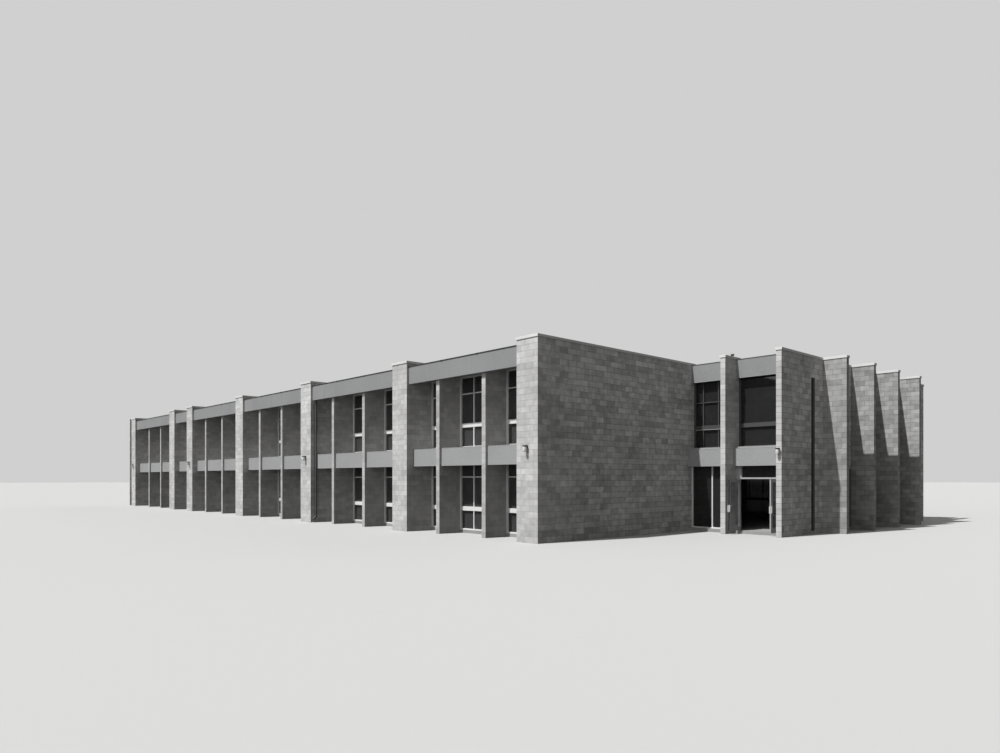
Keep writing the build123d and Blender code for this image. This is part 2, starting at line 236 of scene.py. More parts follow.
def lay_blocks(name, faces, openings=()):
    """Lays blocks on wall faces. A face runs between two plan points, outside on its right, with
    its head, the kinds of its two ends and whether its lowest course starts with a half block.
    Openings are (start, end, foot, head) along the face."""
    points, sides = [], []
    for start, end, wall_top, kinds, half_first in faces:
        run = Vector((end[0] - start[0], end[1] - start[1], 0))
        width = run.length
        along = run / width
        outward = Vector((along.y, -along.x, 0))
        halves = max(1, round(width / half_block))
        courses = round(wall_top / half_block)
        step, rise = width / halves, wall_top / courses
        for course in range(courses):
            first = 1 if (course + half_first) % 2 else 2
            cuts = [0, *range(first, halves, 2), halves]
            for left, right in zip(cuts, cuts[1:]):
                left_kind = kinds[0] if left == 0 else "joint"
                right_kind = kinds[1] if right == halves else "joint"
                foot = course * rise
                pieces = [(left * step, right * step, foot, foot + rise, left_kind, right_kind)]
                for opening in openings:
                    pieces = cut_round(pieces, opening)
                for u0, u1, v0, v1, kind0, kind1 in pieces:
                    base = len(points)
                    for far, upper, layer in block_corners:
                        joint = edge_shift["joint"][layer]
                        u = u1 + edge_shift[kind1][layer] if far else u0 - edge_shift[kind0][layer]
                        v = v1 + joint if upper else v0 - joint
                        corner = Vector((*start, 0)) + along * u + outward * layer_depth[layer]
                        points.append(corner + Vector((0, 0, v)))
                    sides.extend(tuple(base + corner for corner in side) for side in block_sides)
    mesh = bpy.data.meshes.new(name)
    mesh.from_pydata(points, [], sides)
    wall = bpy.data.objects.new(name, mesh)
    bpy.context.collection.objects.link(wall)
    return wall


def half_turned(piece, name):
    """A copy of a piece with its own mesh, after half a turn about the middle of the plan."""
    bpy.ops.object.select_all(action="DESELECT")
    twin = piece.copy()
    twin.data = piece.data.copy()
    twin.name = name
    bpy.context.collection.objects.link(twin)
    twin.data.transform(Matrix.Rotation(pi, 4, "Z"))
    return twin


def settle(piece, material, body="building", stands_for=()):
    """Gives a finished piece its material and the body that it moves with."""
    piece.data.materials.clear()
    piece.data.materials.append(material)
    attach(piece, body)
    if stands_for:
        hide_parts(*stands_for)


# Plan lines of the front, from the outside in, and the heads of its walls
pier_front, fin_front, window_front = -5.640, -5.533, -5.046
wall_head, eaves_head, fin_head = 3.339, 3.165, 3.015
piers = [
    (9.954, 10.454), (6.212, 6.727), (2.136, 2.651), (-1.940, -1.425),
    (-6.016, -5.501), (-7.760, -7.245), (-12.308, -11.793),
]
fins = [8.922, 7.563, 4.845, 3.486, 0.769, -0.590, -3.307, -4.666, -9.135, -10.494]
fin_width = 0.1
# Plan lines of the end with the entrance: the wing's end wall, the entrance fin, the side wall with
# its fins, and the lines that they run back to
end_wall, entry_back, door_line = 10.454, -1.198, -1.250
entry_fin = (11.369, 11.469)
side_inner, side_outer, side_front = 12.496, 12.596, -1.697
side_fins, side_fin_reach = (-0.033, 1.287, 2.607, 3.927), 13.053

pier_faces = []
for low, high in piers:
    corner, next_corner = (low, pier_front), (high, pier_front)
    pier_faces.append((corner, next_corner, wall_head, ("arris", "arris"), 0))
    pier_faces.append(((low, window_front), corner, wall_head, ("joint", "arris"), 1))
    if high < end_wall:
        pier_faces.append((next_corner, (high, window_front), wall_head, ("arris", "joint"), 0))
front_pier_blocks = lay_blocks("front_pier_blocks", pier_faces)
fin_faces = []
for low in fins:
    high = low + fin_width
    corner, next_corner = (low, fin_front), (high, fin_front)
    fin_faces.append((corner, next_corner, fin_head, ("arris", "arris"), 0))
    fin_faces.append(((low, window_front), corner, fin_head, ("joint", "arris"), 1))
    fin_faces.append((next_corner, (high, window_front), fin_head, ("arris", "joint"), 0))
front_fin_blocks = lay_blocks("front_fin_blocks", fin_faces)
end_wall_blocks = lay_blocks(
    "east_end_wall_blocks",
    [((end_wall, pier_front), (end_wall, entry_back), wall_head, ("arris", "joint"), 0)],
)
slot_start, slot_end = (-side_inner, window_front), (piers[-1][0], window_front)
slot_blocks = lay_blocks(
    "front_slot_blocks", [(slot_start, slot_end, eaves_head, ("joint", "joint"), 0)]
)
# The openings of the side wall by their distance from its front edge: the slit and three windows
side_wall_blocks = lay_blocks(
    "east_side_wall_blocks",
    [((side_outer, side_front), (side_outer, -pier_front), wall_head, ("arris", "arris"), 0)],
    openings=[
        (1.168, 1.323, 0.060, 2.957), (2.534, 2.984, 0.060, 1.240),
        (3.854, 4.304, 0.060, 1.240), (5.174, 5.624, 0.060, 1.240),
    ],
)
side_corners = [
    ((side_inner, side_front), (side_outer, side_front), ("arris", "arris"), 0),
    ((side_inner, door_line), (side_inner, side_front), ("joint", "arris"), 1),
    ((side_outer, -pier_front), (side_inner, -pier_front), ("arris", "arris"), 0),
    ((side_inner, -pier_front), (side_inner, -window_front), ("arris", "joint"), 0),
]
side_end_blocks = lay_blocks(
    "east_side_end_blocks",
    [(start, end, wall_head, kinds, half) for start, end, kinds, half in side_corners],
)
side_fin_faces = []
for front in side_fins:
    corner, next_corner = (side_fin_reach, front), (side_fin_reach, front + fin_width)
    root, next_root = (side_outer, front), (side_outer, front + fin_width)
    side_fin_faces.append((root, corner, wall_head, ("joint", "arris"), 0))
    side_fin_faces.append((corner, next_corner, wall_head, ("arris", "arris"), 0))
    side_fin_faces.append((next_corner, next_root, wall_head, ("arris", "joint"), 1))
side_fin_blocks = lay_blocks("east_side_fin_blocks", side_fin_faces)
corner, next_corner = (entry_fin[0], side_front), (entry_fin[1], side_front)
entry_fin_blocks = lay_blocks(
    "east_entry_fin_blocks",
    [
        (corner, next_corner, wall_head, ("arris", "arris"), 0),
        ((entry_fin[0], entry_back), corner, wall_head, ("joint", "arris"), 1),
        (next_corner, (entry_fin[1], entry_back), wall_head, ("arris", "joint"), 0),
    ],
)
for wall, twin_name, kind in (
    (front_pier_blocks, "rear_pier_blocks", "pier_block"),
    (front_fin_blocks, "rear_fin_blocks", "fin_block"),
    (end_wall_blocks, "west_end_wall_blocks", "wall_block"),
    (slot_blocks, "rear_slot_blocks", "wall_block"),
    (side_wall_blocks, "west_side_wall_blocks", "wall_block"),
    (side_end_blocks, "west_side_end_blocks", "pier_block"),
    (side_fin_blocks, "west_side_fin_blocks", "side_fin_block"),
    (entry_fin_blocks, "west_entry_fin_blocks", "pier_block"),
):
    settle(half_turned(wall, twin_name), block_finishes[kind])
    settle(wall, block_finishes[kind])


# Roofing: bitumen felt with a mineral face, rolled out over the slabs in strips that are about 1 m
# wide and lap by 40 mm on the real building. They run across it, in one length over each wing and
# one over the core, and strips of their own cover the eaves.
felt = finish(
    "felt", (0.235, 0.235, 0.235), (0.265, 0.265, 0.262),
    patches=0.8, grain=320, rough=0.97, relief=0.6,
)
each_strip = felt.node_tree.nodes.new("ShaderNodeNewGeometry")
graded(felt, each_strip.outputs["Random Per Island"], 0.90, 1.10)


def slab_at(x, y, z, chamfer=0.0, name="piece"):
    """A block of material between the low and high limits of each axis, with its edges taken
    off."""
    bpy.ops.object.select_all(action="DESELECT")
    middle = [(low + high) / 2 for low, high in (x, y, z)]
    bpy.ops.mesh.primitive_cube_add(size=1, location=middle)
    piece = bpy.context.object
    piece.name = name
    piece.scale = [high - low for low, high in (x, y, z)]
    bpy.ops.object.transform_apply(location=True, rotation=True, scale=True)
    if chamfer:
        bpy.ops.object.mode_set(mode="EDIT")
        bpy.ops.mesh.select_all(action="SELECT")
        bpy.ops.mesh.bevel(offset=chamfer, affect="EDGES")
        bpy.ops.object.mode_set(mode="OBJECT")
    return piece


def repeat(piece, step, count):
    """A row of copies of a piece, each a step further on."""
    row = piece.modifiers.new("row", "ARRAY")
    row.use_relative_offset = False
    row.use_constant_offset = True
    row.constant_offset_displace = step
    row.count = count
    bpy.context.view_layer.objects.active = piece
    bpy.ops.object.modifier_apply(modifier="row")
    return piece


def joined(name, pieces):
    """Several pieces made into one."""
    bpy.ops.object.select_all(action="DESELECT")
    for piece in pieces:
        piece.select_set(True)
    bpy.context.view_layer.objects.active = pieces[0]
    bpy.ops.object.join()
    pieces[0].name = name
    return pieces[0]


def felt_strips(name, x, y, count):
    """Strips of felt side by side, each one tipped up where it laps over the last."""
    width = (x[1] - x[0]) / count
    lap, tip = 0.02, 0.0035
    strip = slab_at((x[0], x[0] + width + lap), y, (3.1655, 3.1685), 0.001, name)
    bpy.ops.object.mode_set(mode="EDIT")
    bpy.ops.mesh.select_all(action="DESELECT")
    cage = bmesh.from_edit_mesh(strip.data)
    for point in cage.verts:
        point.select_set(point.co.x > x[0] + width / 2)
    bmesh.update_edit_mesh(strip.data)
    bpy.ops.transform.translate(value=(0, 0, tip))
    bpy.ops.object.mode_set(mode="OBJECT")
    return repeat(strip, (width, 0, 0), count)


wing_felt = felt_strips("front_wing_roofing", (-12.490, 10.330), (-5.000, -1.150), 46)
settle(half_turned(wing_felt, "rear_wing_roofing"), felt)
settle(wing_felt, felt)
core_felt = felt_strips("core_roofing", (-12.490, 12.470), (-1.150, 1.150), 50)
settle(core_felt, felt)
pier_edges = sorted(edge for pier in piers for edge in pier)[1:-1]
bays = list(zip(pier_edges[::2], pier_edges[1::2]))
eaves_felt = joined(
    "front_eaves_roofing",
    [slab_at(bay, (-5.545, -4.998), (3.166, 3.174), 0.002) for bay in bays],
)
settle(half_turned(eaves_felt, "rear_eaves_roofing"), felt)
settle(eaves_felt, felt)


# Fascias and spandrels: flat sheets, 1.2 m wide on the real building, with fine upright ribs,
# painted a middle grey. Slim cover strips close the joints of the long fascias, and an angle runs
# round each spandrel and each fascia of the entrance.
fascia_paint = finish(
    "fascia_paint", (0.248, 0.250, 0.252), (0.288, 0.290, 0.292),
    patches=0.9, grain=60, rough=0.6, relief=0.1,
)
spandrel_paint = finish(
    "spandrel_paint", (0.314, 0.316, 0.318), (0.354, 0.356, 0.358),
    patches=0.9, grain=60, rough=0.6, relief=0.1,
)
for paint in (fascia_paint, spandrel_paint):
    nodes, links = paint.node_tree.nodes, paint.node_tree.links
    place = nodes.new("ShaderNodeTexCoord")
    ribs = nodes.new("ShaderNodeTexWave")
    ribs.bands_direction = "X"
    ribs.inputs["Scale"].default_value = 10
    rib_relief = nodes.new("ShaderNodeBump")
    rib_relief.inputs["Strength"].default_value = 0.35
    rib_relief.inputs["Distance"].default_value = 0.002
    normal = nodes["Principled BSDF"].inputs["Normal"]
    links.new(place.outputs["Object"], ribs.inputs["Vector"])
    links.new(ribs.outputs["Fac"], rib_relief.inputs["Height"])
    links.new(normal.links[0].from_socket, rib_relief.inputs["Normal"])
    links.new(rib_relief.outputs["Normal"], normal)
clad(fascia_paint, "fascias", "entry_fascias")
clad(spandrel_paint, "spandrels", "entry_spandrels")

strip_paint = finish(
    "strip_paint", (0.33, 0.33, 0.33), (0.40, 0.40, 0.40),
    patches=3.0, grain=90, rough=0.5, relief=0.1,
)
sheet_width, half_strip = 0.6, 0.005
strips = []
for low, high in bays:
    sheets = max(1, round((high - low) / sheet_width))
    for k in range(1, sheets):
        middle = low + (high - low) * k / sheets
        x = (middle - half_strip, middle + half_strip)
        strips.append(slab_at(x, (-5.599, -5.595), (2.923, 3.254), 0.001))
fascia_strips = joined("front_fascia_strips", strips)
settle(half_turned(fascia_strips, "rear_fascia_strips"), strip_paint)
settle(fascia_strips, strip_paint)


def edging(x, y, z, width=0.007):
    """Four slim angles round a panel's face."""
    return [
        slab_at(x, y, (z[0], z[0] + width), 0.001),
        slab_at(x, y, (z[1] - width, z[1]), 0.001),
        slab_at((x[0], x[0] + width), y, (z[0] + width, z[1] - width), 0.001),
        slab_at((x[1] - width, x[1]), y, (z[0] + width, z[1] - width), 0.001),
    ]


stops = sorted(pier_edges + fins + [low + fin_width for low in fins])
window_bays = list(zip(stops[::2], stops[1::2]))
spandrel_z, edge_gap = (1.290, 1.630), 0.003
angles = []
for low, high in window_bays:
    angles += edging((low + edge_gap, high - edge_gap), (-5.491, -5.486), spandrel_z)
spandrel_angles = joined("front_spandrel_angles", angles)
settle(half_turned(spandrel_angles, "rear_spandrel_angles"), strip_paint)
settle(spandrel_angles, strip_paint)
left_bay, door_bay = (end_wall, entry_fin[0]), (entry_fin[1], side_inner)
angles = []
for low, high in (left_bay, door_bay):
    x = (low + edge_gap, high - edge_gap)
    angles += edging(x, (-1.411, -1.406), spandrel_z)
    angles += edging(x, (-1.293, -1.288), (2.980, 3.332))
entry_angles = joined("east_entry_angles", angles)
settle(half_turned(entry_angles, "west_entry_angles"), strip_paint)
settle(entry_angles, strip_paint)


# Roof edge trim: a folded strip of dark painted steel, clipped over the top of every fascia, with
# its joints covered by short saddles.
trim_steel = finish(
    "trim_steel", (0.05, 0.05, 0.052), (0.075, 0.075, 0.077),
    patches=4.0, grain=150, rough=0.45, relief=0.1, metal=0.6,
)
clad(trim_steel, "fascia_trims")
trim_length, end_margin, half_saddle = 1.2, 0.03, 0.02
saddles = []
for low, high in bays:
    pieces = max(1, round((high - low) / trim_length))
    for k in range(pieces + 1):
        middle = low + end_margin + (high - low - 2 * end_margin) * k / pieces
        x = (middle - half_saddle, middle + half_saddle)
        saddles.append(slab_at(x, (-5.607, -5.535), (3.250, 3.2765), 0.002))
trim_saddles = joined("front_trim_saddles", saddles)
settle(half_turned(trim_saddles, "rear_trim_saddles"), trim_steel)
settle(trim_saddles, trim_steel)
trim_gap = 0.004
entry_trims = joined(
    "east_entry_trims",
    [
        slab_at((low + trim_gap, high - trim_gap), (-1.297, -1.234), (3.3325, 3.345), 0.002)
        for low, high in (left_bay, door_bay)
    ],
)
settle(half_turned(entry_trims, "west_entry_trims"), trim_steel)
settle(entry_trims, trim_steel)


# Copings: pale precast concrete stones bedded on every wall that rises past the roof. They overhang
# it and throw a dark line on it; each has rounded top edges and a drip groove below.
precast = finish(
    "precast", (0.66, 0.66, 0.65), (0.76, 0.76, 0.745),
    patches=2.2, grain=130, rough=0.85, relief=0.3,
)


def coping_stones(x, y, along):
    """A row of coping stones between plan limits, about 0.6 m long along one axis, with open
    joints."""
    span = (x, y)[along]
    count = max(1, round((span[1] - span[0]) / 0.6))
    length = (span[1] - span[0]) / count
    half_joint, stone_foot, stone_top = 0.001, 3.3395, 3.385
    first = [x, y]
    first[along] = (span[0] + half_joint, span[0] + length - half_joint)
    stone = slab_at(first[0], first[1], (stone_foot, stone_top))
    bpy.ops.object.mode_set(mode="EDIT")
    bpy.ops.mesh.select_mode(type="EDGE")
    bpy.ops.mesh.select_all(action="DESELECT")
    cage = bmesh.from_edit_mesh(stone.data)
    for edge in cage.edges:
        edge.select_set(all(point.co.z > stone_top - 0.005 for point in edge.verts))
    bmesh.update_edit_mesh(stone.data)
    bpy.ops.mesh.bevel(offset=0.004, segments=2, affect="EDGES")
    bpy.ops.mesh.select_mode(type="FACE")
    bpy.ops.mesh.select_all(action="DESELECT")
    cage = bmesh.from_edit_mesh(stone.data)
    for side in cage.faces:
        side.select_set(side.normal.z < -0.9)
    bmesh.update_edit_mesh(stone.data)
    bpy.ops.mesh.inset(thickness=0.004)
    bpy.ops.mesh.inset(thickness=0.003, depth=-0.003)
    bpy.ops.mesh.inset(thickness=0.003, depth=0.003)
    bpy.ops.object.mode_set(mode="OBJECT")
    step = [0, 0, 0]
    step[along] = length
    return repeat(stone, step, count)


overhang, pier_back, recess_back = 0.015, -4.991, -1.158
pier_stones = joined(
    "front_pier_copings",
    [
        coping_stones((low - overhang, high + overhang), (pier_front - overhang, pier_back), 0)
        for low, high in piers
    ],
)
settle(half_turned(pier_stones, "rear_pier_copings"), precast)
settle(pier_stones, precast, stands_for=["pier_copings"])
wall_stones = [
    coping_stones((10.339, end_wall + overhang), (pier_back, recess_back), 1),
    coping_stones(
        (side_inner - overhang, side_outer + overhang),
        (side_front - overhang, -pier_front + overhang), 1,
    ),
    coping_stones(
        (entry_fin[0] - overhang, entry_fin[1] + overhang),
        (side_front - overhang, recess_back), 1,
    ),
]
for front in side_fins:
    y = (front - overhang, front + fin_width + overhang)
    wall_stones.append(
        coping_stones((side_outer + overhang, side_fin_reach + overhang), y, 0)
    )
wall_stones = joined("east_wall_copings", wall_stones)
settle(half_turned(wall_stones, "west_wall_copings"), precast)
settle(
    wall_stones, precast,
    stands_for=["end_wall_copings", "side_wall_copings", "fin_copings"],
)


# Windows of the long fronts: timber frames painted white, each in one piece between two fins. A
# deep rail crosses at desk height, a slim one near the head, and slim mullions divide the lights.
joinery_white = ((0.74, 0.74, 0.73), (0.82, 0.82, 0.81))
joinery_paint = finish(
    "joinery_paint", *joinery_white, patches=2.4, grain=70, rough=0.45, relief=0.12
)


def window_bars(x, y, z, jamb, foot, rails=(), mullions=()):
    """The bars of one window between plan limits: its foot, head and jambs, then rails between two
    heights and mullions about a line."""
    head, half_mullion, slim_limit = 0.028, 0.012, 0.05
    bars = [
        slab_at(x, y, (z[0], z[0] + foot), 0.003),
        slab_at(x, y, (z[1] - head, z[1]), 0.003),
    ]
    jamb_y, jamb_z = (y[0] + 0.001, y[1] - 0.001), (z[0] + 0.002, z[1] - 0.002)
    for edge in ((x[0], x[0] + jamb), (x[1] - jamb, x[1])):
        bars.append(slab_at(edge, jamb_y, jamb_z, 0.003))
    slim_y = (y[0] + 0.008, y[1] - 0.005)
    for low, high in rails:
        rail_y = y if high - low > slim_limit else slim_y
        bars.append(slab_at((x[0] + 0.002, x[1] - 0.002), rail_y, (low, high), 0.002))
    for middle in mullions:
        mullion_x = (middle - half_mullion, middle + half_mullion)
        bars.append(slab_at(mullion_x, slim_y, (z[0] + 0.008, z[1] - 0.010), 0.002))
    return bars


ground_sill, upper_sill, window_height = 0.060, 1.660, 1.355
jamb_width, pane_width = 0.036, 0.42
bars = []
for low, high in window_bays:
    panes = max(2, round((high - low) / pane_width))
    middles = [low + (high - low) * k / panes for k in range(1, panes)]
    for sill, foot in ((ground_sill, 0.028), (upper_sill, 0.010)):
        rails = ((sill + 0.372, sill + 0.452), (sill + 1.009, sill + 1.029))
        y, z = (window_front, window_front + 0.040), (sill, sill + window_height)
        bars += window_bars((low, high), y, z, jamb_width, foot, rails, middles)
window_joinery = joined("front_window_joinery", bars)
settle(
    half_turned(window_joinery, "rear_window_joinery"), joinery_paint,
    stands_for=["rear_window_frames"],
)
settle(window_joinery, joinery_paint, stands_for=["front_window_frames"])


# Windows of the entrance recess: timber frames, white on the ground floor and dark above it, where
# a pale weather strip is fixed under the deep rail. The far recess has a window in place of doors.
entry_paint = finish(
    "entry_paint", *joinery_white, patches=2.4, grain=70, rough=0.45, relief=0.12
)
nodes, links = entry_paint.node_tree.nodes, entry_paint.node_tree.links
place = nodes.new("ShaderNodeTexCoord")
spot = nodes.new("ShaderNodeSeparateXYZ")
links.new(place.outputs["Object"], spot.inputs["Vector"])
graded(entry_paint, spot.outputs["Z"], 1.0, 0.085, value_low=1.60, value_high=1.61)
ground_y, upper_y, deep_rail = (-1.290, door_line), (entry_back, recess_back), (2.032, 2.112)
ground_z, upper_z = (ground_sill, 1.510), (upper_sill, upper_sill + window_height)
bars = window_bars(left_bay, ground_y, ground_z, 0.024, 0.024, (), (10.925,))
bars += window_bars(
    left_bay, upper_y, upper_z, jamb_width, 0.020, (deep_rail, (2.562, 2.582)), (10.665, 11.010)
)
bars += window_bars(door_bay, upper_y, upper_z, jamb_width, 0.020, (deep_rail,))
entry_joinery = joined("east_entry_joinery", bars)
far_window = joined(
    "west_entry_ground_joinery",
    window_bars(door_bay, ground_y, ground_z, 0.024, 0.024, (), (11.811, 12.153)),
)
far_window.data.transform(Matrix.Rotation(pi, 4, "Z"))
settle(far_window, entry_paint)
settle(half_turned(entry_joinery, "west_entry_joinery"), entry_paint)
settle(entry_joinery, entry_paint, stands_for=["entry_window_frames"])
weather_strips = slab_at(
    (10.491, 11.332), (-1.206, -1.196), (2.022, 2.033), 0.002, "east_weather_strips"
)
settle(half_turned(weather_strips, "west_weather_strips"), strip_paint)
settle(weather_strips, strip_paint)


# Windows of the side walls: timber frames set in the blockwork, a slit over both storeys and a
# white light beside each later fin. The slits lie where X and Y have opposite signs, and there
# painted shade darkens their frames.
side_paint_and_slit_shade = finish(
    "side_paint_and_slit_shade", *joinery_white, patches=2.4, grain=70, rough=0.45, relief=0.12
)
nodes, links = side_paint_and_slit_shade.node_tree.nodes, side_paint_and_slit_shade.node_tree.links
place = nodes.new("ShaderNodeTexCoord")
spot = nodes.new("ShaderNodeSeparateXYZ")
slit_shade_quarter = nodes.new("ShaderNodeMath")
slit_shade_quarter.operation = "MULTIPLY"
links.new(place.outputs["Object"], spot.inputs["Vector"])
links.new(spot.outputs["X"], slit_shade_quarter.inputs[0])
links.new(spot.outputs["Y"], slit_shade_quarter.inputs[1])
# Painted shade: the frames of the slits are darkened where X and Y have opposite signs.
graded(side_paint_and_slit_shade, slit_shade_quarter.outputs["Value"], 0.07, 1.0, value_low=-3, value_high=3)
clad(side_paint_and_slit_shade, "side_window_frames")
bar_x = (12.520, 12.552)
side_bars = [
    slab_at(bar_x, (front - 0.401, front - 0.049), (0.800, 0.826), 0.002)
    for front in side_fins[1:]
]
side_bars += [slab_at(bar_x, (-0.510, -0.393), (z, z + 0.016), 0.002) for z in (0.95, 1.92)]
side_window_bars = joined("east_side_window_bars", side_bars)
settle(half_turned(side_window_bars, "west_side_window_bars"), side_paint_and_slit_shade)
settle(side_window_bars, side_paint_and_slit_shade)


# Glass: plain sheets set in their frames. The window glass is tinted nearly black, painted shade
# that stands for the unlit rooms behind it, darkest in the entrance recess, with a faint film left
# by rain. The door glass is clean and shows what stands behind it.
for name, tint_and_painted_shade, clear, panes in (
    ("window_glazing", 0.105, 0.5, ("window_glass", "side_window_glass")),
    ("entry_glazing", 0.045, 0.5, ("entry_window_glass",)),
    ("door_glazing", 0.86, 0.97, ("left_door_glass", "right_door_glass")),
):
    # The dark tints of the window and entrance glass are painted shade; the door glass is clear.
    glazing = finish(
        name, (0.92 * tint_and_painted_shade, 0.94 * tint_and_painted_shade, 0.95 * tint_and_painted_shade), (tint_and_painted_shade, tint_and_painted_shade, tint_and_painted_shade),
        patches=1.5, grain=3, rough=0.03, relief=0.0,
    )
    nodes, links = glazing.node_tree.nodes, glazing.node_tree.links
    shader = nodes["Principled BSDF"]
    shader.inputs["Transmission Weight"].default_value = clear
    shader.inputs["IOR"].default_value = 1.5
    film = nodes.new("ShaderNodeMapRange")
    film.inputs["To Min"].default_value = 0.015
    film.inputs["To Max"].default_value = 0.07
    links.new(nodes["broad"].outputs["Fac"], film.inputs["Value"])
    links.new(film.outputs["Result"], shader.inputs["Roughness"])
    clad(glazing, *panes)


# Entrance doors: a pair of leaves of satin aluminium, glazed, on lift-off hinges, standing open
# square to the wall. Each has a kick plate, glazing beads, and a white lock case with a lever.
aluminium = finish(
    "aluminium", (0.42, 0.42, 0.42), (0.50, 0.50, 0.50),
    patches=5.0, grain=240, rough=0.45, relief=0.08, metal=0.15,
)
clad(aluminium, "door_jambs", "door_fanlight", "left_door_leaf", "right_door_leaf")
hinge_steel = finish(
    "hinge_steel", (0.30, 0.30, 0.30), (0.42, 0.42, 0.42),
    patches=20, grain=300, rough=0.3, relief=0.1, metal=0.9,
)
clad(hinge_steel, "door_hinges")
lock_enamel = finish(
    "lock_enamel", (0.72, 0.72, 0.71), (0.80, 0.80, 0.79),
    patches=12, grain=200, rough=0.3, relief=0.05,
)
glass_y, glass_z = (-1.6855, -1.3520), (0.146, 0.987)
bead_width, half_bead, half_plate = 0.008, 0.003, 0.0025
upright_z = (glass_z[0] + bead_width, glass_z[1] - bead_width)
beads = []
for leaf_face in (11.5535, 11.5725):
    x = (leaf_face - half_bead, leaf_face + half_bead)
    beads.append(slab_at(x, glass_y, (glass_z[0], upright_z[0]), 0.001))
    beads.append(slab_at(x, glass_y, (upright_z[1], glass_z[1]), 0.001))
    beads.append(slab_at(x, (glass_y[0], glass_y[0] + bead_width), upright_z, 0.001))
    beads.append(slab_at(x, (glass_y[1] - bead_width, glass_y[1]), upright_z, 0.001))
    plate_x = (leaf_face - half_plate, leaf_face + half_plate)
    beads.append(slab_at(plate_x, (-1.722, -1.316), (0.074, 0.136), 0.001))
case_z, boss_y, boss_z, half_lever = (0.420, 0.550), -1.7115, 0.500, 0.0045
cases, handles = [], []
for side, case_x in ((-1, (11.538, 11.5525)), (1, (11.5735, 11.588))):
    cases.append(slab_at(case_x, (-1.7335, -1.6895), case_z, 0.004))
    outer = case_x[0] if side < 0 else case_x[1]
    bpy.ops.mesh.primitive_cylinder_add(
        vertices=24, radius=0.008, depth=0.012,
        location=(outer + side * 0.005, boss_y, boss_z), rotation=(0, radians(90), 0),
    )
    boss = bpy.context.object
    bpy.ops.object.transform_apply(location=True, rotation=True, scale=True)
    lever_x = sorted((outer + side * 0.009, outer + side * 0.014))
    lever_z = (boss_z - half_lever, boss_z + half_lever)
    lever = slab_at(lever_x, (boss_y - half_lever, -1.6640), lever_z, 0.002)
    handles += [boss, lever]
door_middle = 11.9825
mirror = Matrix.Translation((2 * door_middle, 0, 0)) @ Matrix.Scale(-1, 4, (1, 0, 0))
for name, pieces, material, slot in (
    ("door_beads", beads, aluminium, "joinery"),
    ("door_lock_cases", cases, lock_enamel, "lock"),
    ("door_handles", handles, hinge_steel, "hinge"),
):
    piece = joined(f"left_{name}", pieces)
    twin = piece.copy()
    twin.data = piece.data.copy()
    twin.name = f"right_{name}"
    bpy.context.collection.objects.link(twin)
    twin.data.transform(mirror)
    twin.data.flip_normals()
    is_lock = name == "door_lock_cases"
    settle(piece, material, "left_door", ["left_door_lock"] if is_lock else ())
    settle(twin, material, "right_door", ["right_door_lock"] if is_lock else ())


# Door nosing: black rubber pressed over the leading edge of the left leaf, which closes last. It
# comes in two lengths, one above the lock and one below it.
rubber = finish(
    "rubber", (0.020, 0.020, 0.020), (0.034, 0.034, 0.034),
    patches=14, grain=300, rough=0.7, relief=0.1,
)
lock_gap = 0.001
nosing = joined(
    "left_door_nosing",
    [
        slab_at((11.5512, 11.5748), (-1.7360, -1.7245), z, 0.002)
        for z in ((0.068, case_z[0] - lock_gap), (case_z[1] + lock_gap, 1.033))
    ],
)
settle(nosing, rubber, "left_door")


# Wall lights: an opal glass drum under a black enamelled cap, on a short bracket screwed to every
# second pier and to the front edge of each side wall.
enamel = finish(
    "enamel", (0.022, 0.022, 0.024), (0.040, 0.040, 0.042),
    patches=9, grain=260, rough=0.4, relief=0.1,
)
opal = finish(
    "opal", (0.66, 0.66, 0.65), (0.76, 0.76, 0.75), patches=14, grain=90, rough=0.25, relief=0.05
)


def turned_drum(centre, radius, depth, rounding):
    """A cylinder with its rims rounded."""
    bpy.ops.object.select_all(action="DESELECT")
    bpy.ops.mesh.primitive_cylinder_add(vertices=32, radius=radius, depth=depth, location=centre)
    drum = bpy.context.object
    bpy.ops.object.mode_set(mode="EDIT")
    bpy.ops.mesh.select_mode(type="EDGE")
    bpy.ops.mesh.select_all(action="DESELECT")
    cage = bmesh.from_edit_mesh(drum.data)
    for edge in cage.edges:
        edge.select_set(abs(edge.verts[0].co.z - edge.verts[1].co.z) < depth / 4)
    bmesh.update_edit_mesh(drum.data)
    bpy.ops.mesh.bevel(offset=rounding, segments=3, affect="EDGES")
    bpy.ops.object.mode_set(mode="OBJECT")
    bpy.ops.object.transform_apply(location=True, rotation=True, scale=True)
    bpy.ops.object.shade_smooth_by_angle(angle=radians(35))
    return drum


light_places = [((low + high) / 2, pier_front) for low, high in piers[::2]]
light_places.append(((side_inner + side_outer) / 2, side_front))
reach = 0.055
caps, bowls = [], []
for x, y in light_places:
    caps.append(turned_drum((x, y - reach, 1.5835), 0.040, 0.015, 0.005))
    caps.append(turned_drum((x, y - reach, 1.5725), 0.034, 0.008, 0.002))
    caps.append(slab_at((x - 0.012, x + 0.012), (y - reach, y - 0.002), (1.577, 1.594), 0.003))
    caps.append(slab_at((x - 0.022, x + 0.022), (y - 0.009, y - 0.001), (1.545, 1.600), 0.003))
    bowls.append(turned_drum((x, y - reach, 1.5275), 0.032, 0.092, 0.010))
light_caps = joined("front_light_caps", caps)
light_bowls = joined("front_light_drums", bowls)
settle(half_turned(light_caps, "rear_light_caps"), enamel)
settle(light_caps, enamel, stands_for=["wall_light_caps"])
settle(half_turned(light_bowls, "rear_light_drums"), opal)
settle(light_bowls, opal, stands_for=["wall_light_bowls"])


